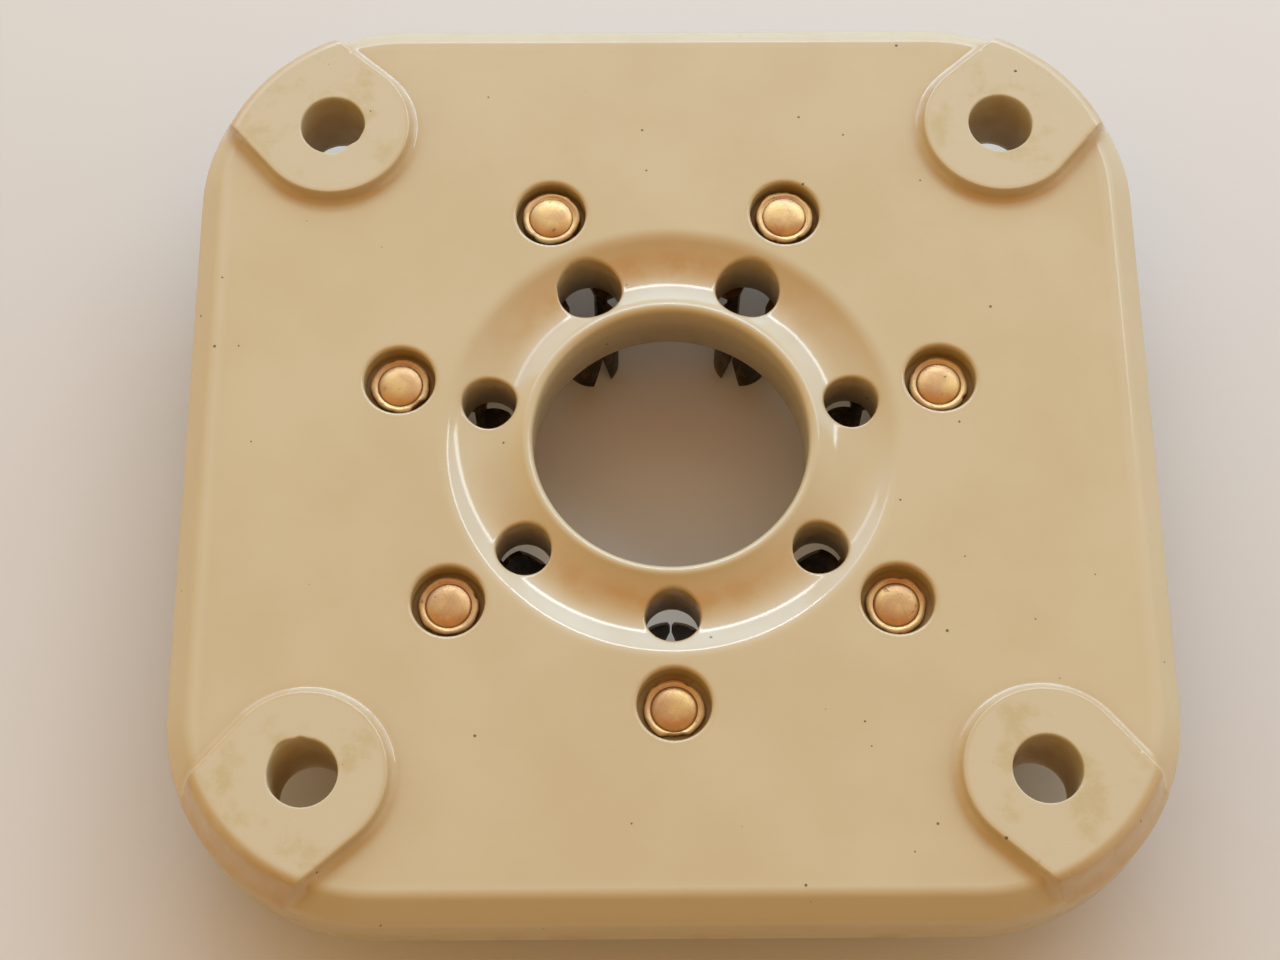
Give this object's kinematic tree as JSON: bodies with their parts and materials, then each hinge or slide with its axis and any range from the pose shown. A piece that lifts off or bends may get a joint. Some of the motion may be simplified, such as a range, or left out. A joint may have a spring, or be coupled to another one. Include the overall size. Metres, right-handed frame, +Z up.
{
  "type": "ceramic seven-pin socket",
  "caption": "Square glazed ceramic valve socket with raised mounting pads, a ring of pin holes in a groove around a centre hole, and seven riveted brass contacts with springy jaws underneath.",
  "frame": {"origin": "centre of the mounting holes on the plane of the pad tops", "axes": "+Z up through the pad tops, out of the glazed face; +Y from the front pin towards the heater pins; +X to the right with the front pin nearest"},
  "size_m": [0.0842, 0.0842, 0.0172],
  "materials": {
    "ceramic": "gloss",
    "contact_brass": "tarnished",
    "rivet_brass": "worn"
  },
  "bodies": {
    "root": {"ceramic_base": "ceramic", "contact_1": "contact_brass", "contact_2": "contact_brass", "contact_3": "contact_brass", "contact_4": "contact_brass", "contact_5": "contact_brass", "contact_6": "contact_brass", "contact_7": "contact_brass", "rivet_1": "rivet_brass", "rivet_2": "rivet_brass", "rivet_3": "rivet_brass", "rivet_4": "rivet_brass", "rivet_5": "rivet_brass", "rivet_6": "rivet_brass", "rivet_7": "rivet_brass"}
  },
  "joints": []
}
